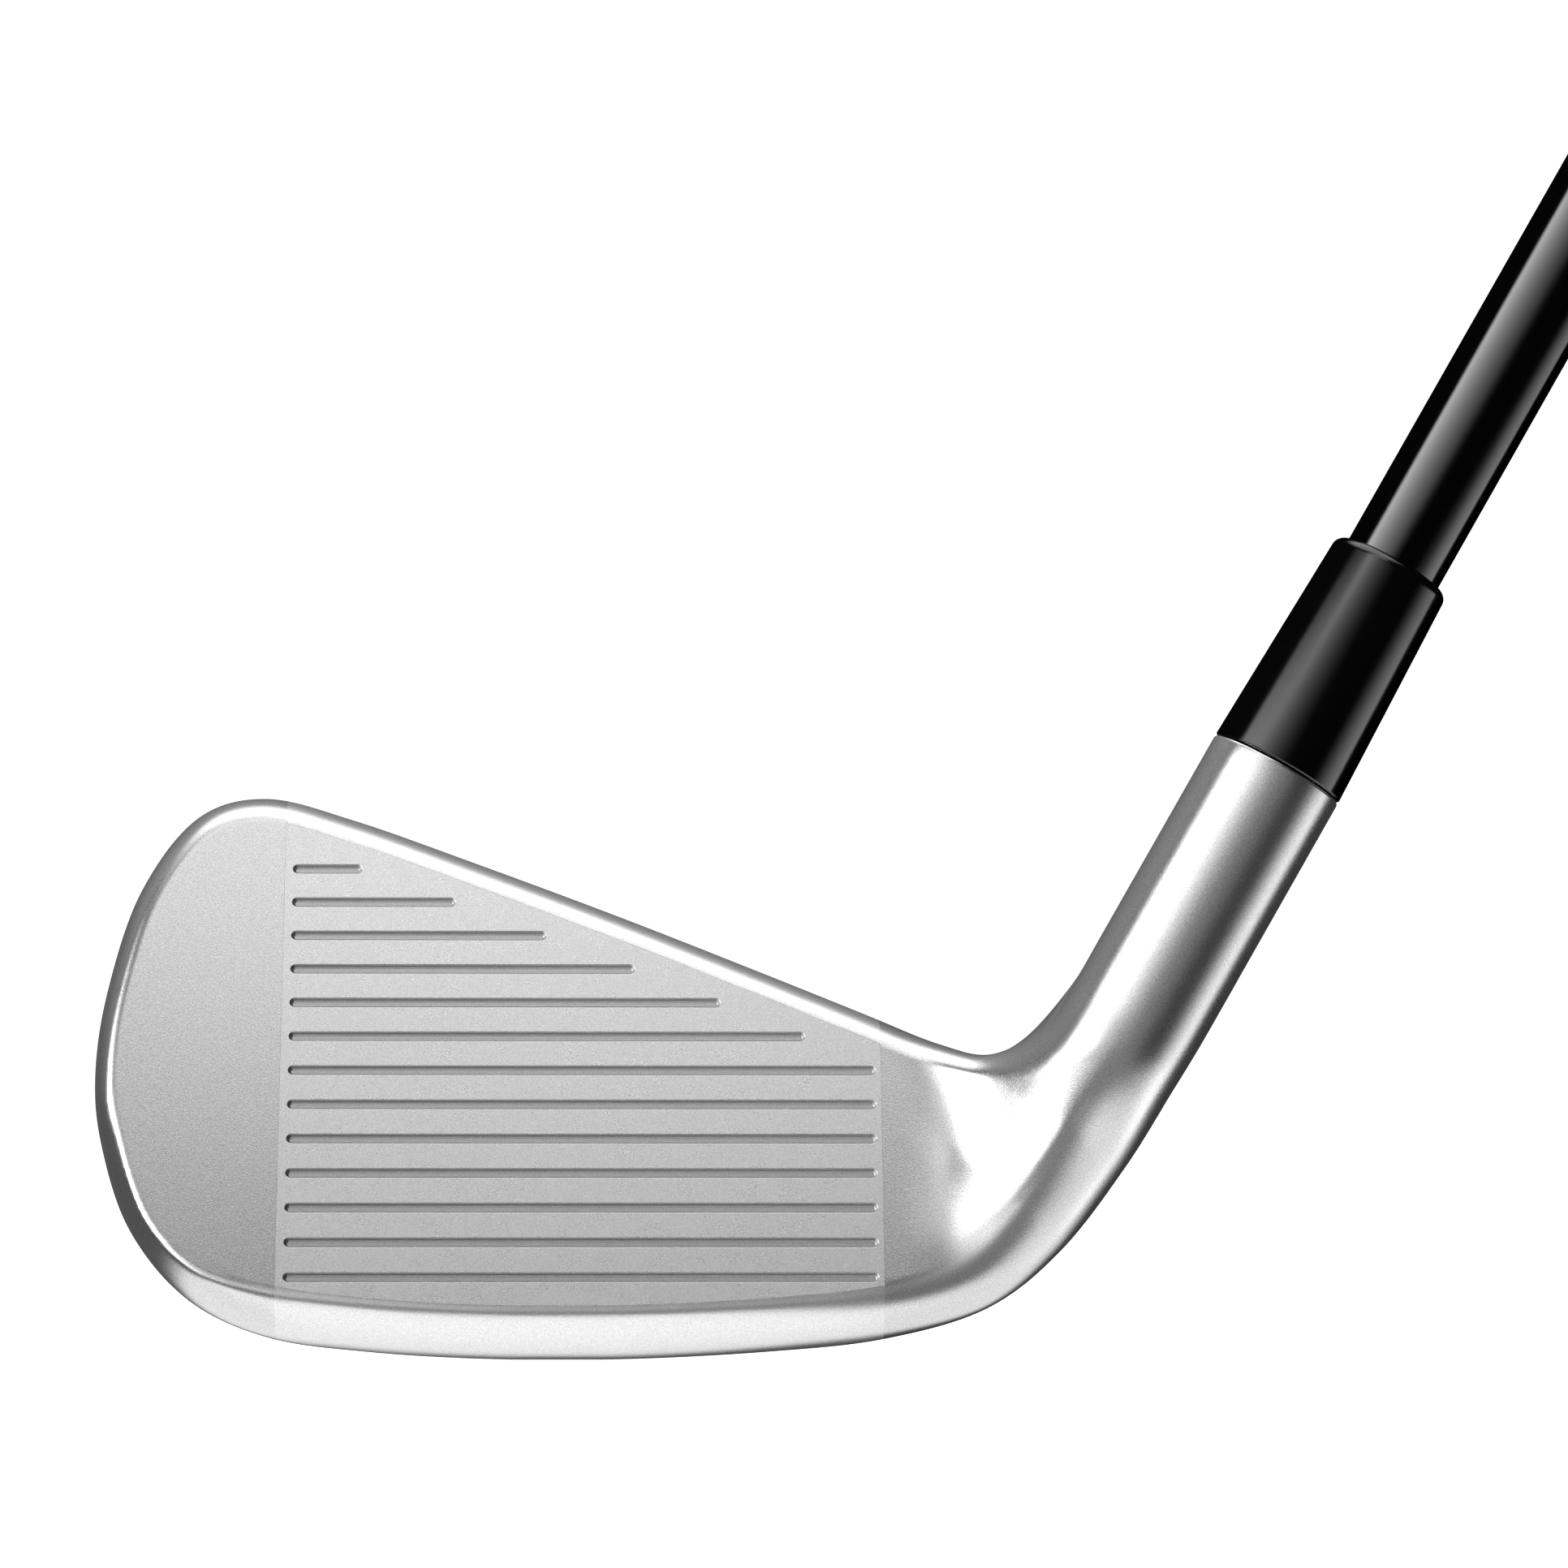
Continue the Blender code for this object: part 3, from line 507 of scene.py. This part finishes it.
# ---- pieces ---------------------------------------------------------------------------------
def face_point(x, up, out):
    """A point x along the face, this far up it from the leading edge and this far out of it."""
    return (x * MM,
            (LEADING_EDGE_Y + up * sin(LOFT) - out * cos(LOFT)) * MM,
            (LEADING_EDGE_Z + up * cos(LOFT) + out * sin(LOFT)) * MM)


def groove_cutter(surface, groove_shade_metal):
    """All the score lines as one cutter. They get shorter where the top line comes down."""
    bm = bmesh.new()
    across = np.linspace(PLATE_TOE_X, PLATE_HEEL_X, 200)
    limit = rail_height(across, 1) - GROOVE_BELOW_TOP
    for i in range(GROOVE_COUNT):
        up = GROOVE_FIRST + i * GROOVE_PITCH
        z = LEADING_EDGE_Z + up * cos(LOFT)
        heel_x = min(GROOVE_HEEL_X, np.interp(-z, -limit, across)) - GROOVE_HALF_WIDTH
        toe_x = GROOVE_TOE_X + GROOVE_HALF_WIDTH
        loops = []
        for width, out in GROOVE_PROFILE:
            loop = []
            for centre_x, turn in ((heel_x, -pi / 2), (toe_x, pi / 2)):
                for k in range(GROOVE_END_STEPS + 1):
                    angle = turn + pi * k / GROOVE_END_STEPS
                    loop.append(bm.verts.new(face_point(
                        centre_x + width * cos(angle), up + width * sin(angle), out)))
            loops.append(loop)
        for near, far in zip(loops, loops[1:]):
            bridge(bm, near, far)
        bm.faces.new(loops[0])
        bm.faces.new(loops[-1])
    cutter = object_from("groove_cutter", bm)
    # The cut walls of the grooves take the darker groove metal: painted shade inside the score lines.
    cutter.data.materials.append(surface)
    cutter.data.materials.append(groove_shade_metal)
    for face in cutter.data.polygons:
        face.material_index = 1
    return cutter


def make_head(surface):
    head = object_from("iron_head", skin(head_rows()))
    bore = rod("bore_cutter", BORE_RADIUS, BORE_BOTTOM, HOSEL_TOP + BORE_OVERSHOOT)
    pocket = object_from("pocket_cutter", plate_skin(PLATE_SEAM, *POCKET_DEPTHS))
    port = rod("port_cutter", PORT_RADIUS, -PORT_DEPTH, PORT_OUTSIDE, port_place(), PORT_STEPS)
    cut_all(head, [pocket, bore, port])
    smooth_shade(head.data, HEAD_SHARP)
    show(head, surface, "head_body")
    return head


def make_face(surface, groove_shade_metal):
    """The face plate: flat shading on the striking face, smooth in the grooves."""
    plate = object_from("iron_face", plate_skin(0.0, 0.0, PLATE_THICKNESS))
    plate.data.materials.append(surface)
    plate.data.materials.append(groove_shade_metal)
    cut_all(plate, [groove_cutter(surface, groove_shade_metal)])
    smooth_shade(plate.data, FACE_SHARP)
    normal = Vector((0.0, -cos(LOFT), sin(LOFT)))
    for face in plate.data.polygons:
        face.use_smooth = abs(face.normal.dot(normal)) < FLAT_NORMAL
    ride(plate, "face_plate")
    return plate


def shaft_radius(along):
    share = np.clip((along - SHAFT_TAPER_START) / (CLUB_LENGTH - SHAFT_TAPER_START), 0.0, 1.0)
    return mix(SHAFT_RADIUS, BUTT_RADIUS, share)


def make_shaft(surface):
    end = CLUB_LENGTH - CAP_THICKNESS - CAP_SEAT
    outer = [(TIP_RADIUS - TIP_BEVEL, SHAFT_TIP), (TIP_RADIUS, SHAFT_TIP + TIP_BEVEL),
             (TIP_RADIUS, HOSEL_TOP + PAINT_STEP[0]), (SHAFT_RADIUS, HOSEL_TOP + PAINT_STEP[1]),
             (SHAFT_RADIUS, SHAFT_TAPER_START), (shaft_radius(end), end)]
    inner = [(shaft_radius(end) - BUTT_WALL, end), (SHAFT_INSIDE[0], SHAFT_TAPER_START),
             (SHAFT_INSIDE[1], SHAFT_TIP)]
    show(turned("iron_shaft", outer + inner), surface, "shaft")


def make_ferrule(surface):
    low = HOSEL_TOP + SEAT_GAP
    high = low + FERRULE_LENGTH
    inside = SHAFT_RADIUS + BOND_GAP
    profile = [(inside, low + FERRULE_MOUTH[1]), (inside + FERRULE_MOUTH[0], low),
               (HOSEL_RADIUS - FERRULE_BEVEL, low), (HOSEL_RADIUS, low + FERRULE_BEVEL)]
    profile += corner(FERRULE_TOP_RADIUS, high, FERRULE_ROUND, 1, 1)
    profile += [(inside, high)]
    show(turned("iron_ferrule", profile), surface, "ferrule")


def make_grip(sleeve_rubber, cap_rubber):
    end = CLUB_LENGTH - CAP_THICKNESS - SLEEVE_GAP
    start = CLUB_LENGTH - GRIP_LENGTH
    profile = [(shaft_radius(start) + TAPE_GAP, start)]
    profile += corner(GRIP_MOUTH_RADIUS, start, GRIP_MOUTH_ROUND, 1, -1)[::-1]
    profile += [(GRIP_BUTT_RADIUS, end - GRIP_FLARE), (CAP_RADIUS - GRIP_END_STEP, end)]
    profile += [(shaft_radius(end) + TAPE_GAP, end)]
    show(turned("iron_grip", profile), sleeve_rubber, "grip_sleeve")
    top = CLUB_LENGTH
    cap = [(VENT_RADIUS, top - CAP_THICKNESS), (CAP_RADIUS, top - CAP_THICKNESS)]
    cap += corner(CAP_RADIUS, top - CAP_DOME, CAP_ROUND, 1, 1)
    cap += [(CAP_FLAT_RADIUS, top), (VENT_RADIUS, top)]
    show(turned("iron_grip_cap", cap), cap_rubber, "grip_cap")


# ---- materials ------------------------------------------------------------------------------
class Nodes:
    """Short hand for building one node tree."""

    def __init__(self, tree):
        self.tree = tree

    def add(self, kind, **settings):
        node = self.tree.nodes.new(kind)
        for key, value in settings.items():
            setattr(node, key, value)
        return node

    def link(self, source, target):
        self.tree.links.new(source, target)

    def math(self, operation, a, b=None):
        node = self.add("ShaderNodeMath", operation=operation)
        for socket, value in zip(node.inputs, (a, b)):
            if value is None:
                continue
            if isinstance(value, (int, float)):
                socket.default_value = value
            else:
                self.link(value, socket)
        return node.outputs[0]

    def scaled(self, value, factor, offset):
        return self.math("ADD", self.math("MULTIPLY", value, factor), offset)

    def varied(self, noise, amount, middle):
        """The middle value, give or take half the amount."""
        return self.scaled(self.math("SUBTRACT", noise, 0.5), amount, middle)

    def rest(self, value):
        return self.math("SUBTRACT", 1.0, value)

    def smooth(self, value, low, high):
        """0 below low, 1 above high, eased between."""
        node = self.add("ShaderNodeMapRange", interpolation_type="SMOOTHSTEP")
        self.link(value, node.inputs["Value"])
        node.inputs["From Min"].default_value = low
        node.inputs["From Max"].default_value = high
        return node.outputs["Result"]

    def band(self, value, low, high, soft_low, soft_high):
        """1 between low and high, fading over the soft widths."""
        rise = self.smooth(value, low - soft_low, low + soft_low)
        fall = self.smooth(value, high - soft_high, high + soft_high)
        return self.math("MULTIPLY", rise, self.rest(fall))

    def noise(self, vector, scale, detail=2.0, roughness=0.5):
        node = self.add("ShaderNodeTexNoise")
        self.link(vector, node.inputs["Vector"])
        node.inputs["Scale"].default_value = scale
        node.inputs["Detail"].default_value = detail
        node.inputs["Roughness"].default_value = roughness
        return node.outputs["Fac"]

    def axes(self, vector):
        node = self.add("ShaderNodeSeparateXYZ")
        self.link(vector, node.inputs[0])
        return node.outputs

    def coordinates(self, kind):
        return self.add("ShaderNodeTexCoord").outputs[kind]

    def relief(self, shader, height, strength, distance):
        node = self.add("ShaderNodeBump")
        node.inputs["Strength"].default_value = strength
        node.inputs["Distance"].default_value = distance
        self.link(height, node.inputs["Height"])
        self.link(node.outputs["Normal"], shader.inputs["Normal"])


def surface_nodes(name, tone, roughness, metallic=0.0, specular=0.5, coat=0.0):
    made = bpy.data.materials.new(name)
    made.use_nodes = True
    kit = Nodes(made.node_tree)
    shader = made.node_tree.nodes["Principled BSDF"]
    shader.inputs["Base Color"].default_value = (tone, tone, tone, 1.0)
    shader.inputs["Roughness"].default_value = roughness
    shader.inputs["Metallic"].default_value = metallic
    shader.inputs["Specular IOR Level"].default_value = specular
    shader.inputs["Coat Weight"].default_value = coat
    return made, kit, shader, kit.coordinates("Object")


def grained(kit, shader, place, scale, tone, roughness, patchiness, strength):
    """A fine grain that varies a metal's tone and relief, and patches that vary its roughness."""
    fine = kit.noise(place, scale, detail=3.0, roughness=0.7)
    wide = kit.noise(place, scale / PATCH_SIZE)
    shade = kit.varied(fine, GRAIN_CONTRAST, 1.0)
    color = kit.add("ShaderNodeCombineColor")
    for socket in color.inputs:
        kit.link(kit.math("MULTIPLY", shade, tone), socket)
    kit.link(color.outputs[0], shader.inputs["Base Color"])
    kit.link(kit.varied(wide, patchiness, roughness), shader.inputs["Roughness"])
    kit.relief(shader, fine, strength, GRAIN_HEIGHT)


def metal(name, tone, roughness, scale=GRAIN_SCALE, strength=0.3):
    made, kit, shader, place = surface_nodes(name, tone, roughness, metallic=1.0)
    grained(kit, shader, place, scale, tone, roughness, patchiness=0.08, strength=strength)
    return made


def head_metal(name):
    """Satin chrome, blasted rougher and paler on the front between the face plate's two ends."""
    made, kit, shader, place = surface_nodes(name, SATIN_TONE, SATIN_ROUGHNESS,
                                              metallic=1.0)
    across = kit.axes(place)[0]
    past_toe_end, past_heel_end = (kit.smooth(across, (x - BLAST_EDGE) * MM, (x + BLAST_EDGE) * MM)
                                   for x in (PLATE_TOE_X, PLATE_HEEL_X))
    between = kit.math("MULTIPLY", past_toe_end, kit.rest(past_heel_end))
    facing_back = kit.axes(kit.add("ShaderNodeNewGeometry").outputs["Normal"])[1]
    blasted = kit.math("MULTIPLY", between, kit.rest(kit.smooth(facing_back, *BLAST_FACING)))
    tone = kit.scaled(blasted, BLASTED_TONE - SATIN_TONE, SATIN_TONE)
    roughness = kit.scaled(blasted, BLASTED_ROUGHNESS - SATIN_ROUGHNESS, SATIN_ROUGHNESS)
    grained(kit, shader, place, GRAIN_SCALE, tone, roughness, patchiness=0.03, strength=0.35)
    return made


def gloss_black(name, roughness):
    """Black lacquer or polished plastic with a slight ripple."""
    made, kit, shader, place = surface_nodes(name, BLACK_TONE, roughness, specular=0.75, coat=0.4)
    shader.inputs["Coat Roughness"].default_value = roughness
    wide = kit.noise(place, 400.0, detail=3.0)
    kit.link(kit.scaled(wide, 0.05, roughness - 0.02), shader.inputs["Roughness"])
    kit.relief(shader, kit.noise(place, 1500.0), strength=0.1, distance=0.00002)
    return made


def matte(name, tone, roughness):
    """Rubber, foam, resin or paper: a coarse grain in relief and roughness."""
    made, kit, shader, place = surface_nodes(name, tone, roughness, specular=0.35)
    fine = kit.noise(place, 900.0, detail=4.0, roughness=0.6)
    kit.relief(shader, fine, strength=0.6, distance=0.0002)
    kit.link(kit.scaled(fine, 0.2, roughness - 0.1), shader.inputs["Roughness"])
    return made


# ---- studio ---------------------------------------------------------------------------------
def lit(kit, strength, *masks):
    for mask in masks:
        strength = kit.math("MULTIPLY", mask, strength)
    return strength


def total(kit, lights):
    result = lights[0]
    for light in lights[1:]:
        result = kit.math("ADD", result, light)
    return result


def bearings(kit, vector):
    """Turn from the front (minus Y), to the right above 0, and height over the horizon, in degrees."""
    unit = kit.add("ShaderNodeVectorMath", operation="NORMALIZE")
    kit.link(vector, unit.inputs[0])
    x, y, z = kit.axes(unit.outputs[0])
    turn = kit.math("ARCTAN2", x, kit.math("MULTIPLY", y, -1.0))
    height = kit.math("ARCSINE", z)
    return kit.math("MULTIPLY", turn, 180 / pi), kit.math("MULTIPLY", height, 180 / pi)


def build_world():
    """A pale studio. Gloss reflects its panels: a long one on the left, a strip on the right,
    the ceiling and the bright ground."""
    world = bpy.data.worlds.new("studio")
    bpy.context.scene.world = world
    world.use_nodes = True
    kit = Nodes(world.node_tree)
    turn, height = bearings(kit, kit.coordinates("Generated"))
    depth = kit.math("MULTIPLY", height, -1.0)
    # the left panel is brightest at its far edge and fades towards the front
    fade = kit.math("MULTIPLY", kit.math("SUBTRACT", LEFT_FADE[0], turn), 1 / LEFT_FADE[1])
    left = lit(kit, LEFT_LIGHT, kit.math("POWER", kit.math("MAXIMUM", fade, 0.0), 2.0),
               kit.smooth(turn, *LEFT_EDGE), kit.band(height, *LEFT_HEIGHTS))
    ceiling = lit(kit, CEILING_LIGHT, kit.smooth(height, *CEILING_HEIGHTS))
    right = lit(kit, RIGHT_LIGHT, kit.band(turn, *RIGHT_TURNS), kit.band(height, *RIGHT_HEIGHTS))
    ground = lit(kit, GROUND_LIGHT, kit.smooth(depth, *GROUND_DEPTHS),
                 kit.band(turn, *GROUND_TURNS))
    all_round = lit(kit, GROUND_LIGHT, kit.smooth(depth, *GROUND_ALL_ROUND))
    light = total(kit, [kit.math("MAXIMUM", ground, all_round), left, ceiling, right])
    strength = kit.add("ShaderNodeMix", data_type="FLOAT")
    kit.link(kit.add("ShaderNodeLightPath").outputs["Is Glossy Ray"], strength.inputs[0])
    strength.inputs[2].default_value = ROOM_LIGHT
    kit.link(light, strength.inputs[3])
    background = world.node_tree.nodes["Background"]
    background.inputs["Color"].default_value = (1, 1, 1, 1)
    kit.link(strength.outputs[0], background.inputs["Strength"])


def glow_only(name, strength_of):
    """A material that adds light and hides nothing behind it."""
    made = bpy.data.materials.new(name)
    made.use_nodes = True
    kit = Nodes(made.node_tree)
    kit.tree.nodes.clear()
    glow = kit.add("ShaderNodeEmission")
    kit.link(strength_of(kit, kit.coordinates("Object")), glow.inputs["Strength"])
    both = kit.add("ShaderNodeAddShader")
    kit.link(glow.outputs[0], both.inputs[0])
    kit.link(kit.add("ShaderNodeBsdfTransparent").outputs[0], both.inputs[1])
    kit.link(both.outputs[0], kit.add("ShaderNodeOutputMaterial").inputs["Surface"])
    return made


def stage_light(piece, made):
    piece.data.materials.append(made)
    piece.visible_camera = False
    piece.visible_diffuse = False
    piece.visible_shadow = False


def build_fill_dome(receivers):
    """Weak fill that only the metal pieces reflect, so that the black pieces stay black."""
    bm = bmesh.new()
    bmesh.ops.create_icosphere(bm, subdivisions=4, radius=FILL_RADIUS * MM)
    dome = object_from("fill_dome", bm)

    def fill(kit, place):
        turn, height = bearings(kit, place)
        aside = kit.smooth(kit.math("ABSOLUTE", turn), *FILL_BEHIND_TURNS)
        behind = lit(kit, FILL_BEHIND, kit.smooth(height, *FILL_BEHIND_HEIGHTS), aside)
        front = lit(kit, FILL_FRONT, kit.band(turn, *FILL_FRONT_TURNS),
                    kit.smooth(height, *FILL_FRONT_HEIGHTS))
        left = lit(kit, FILL_LEFT, kit.smooth(turn, *FILL_LEFT_TURNS))
        return total(kit, [behind, front, left, FILL_BASE])

    stage_light(dome, glow_only("fill_light", fill))
    metals = bpy.data.collections.new("metals")
    for piece in receivers:
        metals.objects.link(piece)
    dome.light_linking.receiver_collection = metals


def sheet(name, x_ends, y_ends, z):
    """A level rectangle."""
    bm = bmesh.new()
    corners = ((x_ends[0], y_ends[0]), (x_ends[1], y_ends[0]),
               (x_ends[1], y_ends[1]), (x_ends[0], y_ends[1]))
    bm.faces.new([bm.verts.new((x * MM, y * MM, z * MM)) for x, y in corners])
    return object_from(name, bm)


def build_key_panel():
    """Softbox close above and in front of the face. It fades out towards its edges."""
    panel = sheet("key_panel", (-KEY_HALF[0], KEY_HALF[0]), (-KEY_HALF[1], KEY_HALF[1]), 0.0)
    offset = Vector((0.0, -cos(KEY_HEIGHT), sin(KEY_HEIGHT))) * KEY_DISTANCE
    panel.location = (Vector(KEY_AIM) + offset) * MM
    panel.rotation_euler = (pi / 2 - KEY_HEIGHT, 0.0, 0.0)

    def key(kit, place):
        x, y, _ = kit.axes(place)
        across = kit.math("ABSOLUTE", x)
        sides = kit.rest(kit.smooth(across, KEY_SIDE_FADE * MM, KEY_HALF[0] * MM))
        upper = kit.rest(kit.smooth(y, KEY_FADE[1] * MM, KEY_HALF[1] * MM))
        lower = kit.smooth(y, KEY_FADE[0] * MM, KEY_FADE[1] * MM)
        return lit(kit, KEY_LIGHT, sides, upper, lower)

    stage_light(panel, glow_only("key_light", key))


def build_floor():
    floor = sheet("floor", FLOOR_X, FLOOR_Y, FLOOR_Z)
    made, kit, shader, place = surface_nodes("pale_floor", 0.86, 0.9, specular=0.1)
    kit.link(kit.scaled(kit.noise(place, 40.0), 0.05, 0.87), shader.inputs["Roughness"])
    shader.inputs["Emission Color"].default_value = (1, 1, 1, 1)
    shader.inputs["Emission Strength"].default_value = FLOOR_GLOW
    floor.data.materials.append(made)
    floor.visible_glossy = False


def build_camera():
    """Level with the sole, looking a little up at the hosel."""
    camera = bpy.data.objects.new("camera", bpy.data.cameras.new("camera"))
    bpy.context.scene.collection.objects.link(camera)
    place = Vector(CAMERA_PLACE) * MM
    target = Vector(CAMERA_TARGET) * MM
    camera.location = place
    camera.rotation_euler = (target - place).to_track_quat("-Z", "Y").to_euler()
    camera.data.sensor_width = CAMERA_SENSOR
    camera.data.lens = CAMERA_LENS
    camera.data.clip_start, camera.data.clip_end = CAMERA_CLIP
    bpy.context.scene.camera = camera


def main():
    bpy.context.scene.view_settings.view_transform = "Standard"
    build_camera()
    build_world()
    build_floor()
    build_key_panel()
    head = make_head(head_metal("satin_chrome"))
    # The grooves' walls get a darker metal than the face: painted shade inside the score lines.
    face = make_face(metal("blasted_face", BLASTED_TONE, BLASTED_ROUGHNESS, strength=0.35),
                     metal("groove_walls_painted_shade", tone=0.5, roughness=0.3))
    build_fill_dome([head, face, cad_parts["port_screw"]])
    make_shaft(gloss_black("gloss_lacquer", roughness=0.10))
    make_ferrule(gloss_black("ferrule_plastic", roughness=0.13))
    make_grip(matte("grip_rubber", tone=0.020, roughness=0.7),
              matte("cap_rubber", tone=0.016, roughness=0.6))
    for node, name, tone in (("port_screw", "screw_steel", 0.35), ("toe_weight", "tungsten", 0.28),
                             ("tip_plug", "plug_brass", 0.5)):
        paint(node, metal(name, tone, roughness=0.35, scale=3000.0))
    for node, name, tone in (("foam_core", "filler_foam", 0.6), ("hosel_epoxy", "epoxy", 0.4),
                             ("grip_tape", "tape_paper", 0.6)):
        paint(node, matte(name, tone, roughness=0.8))


main()
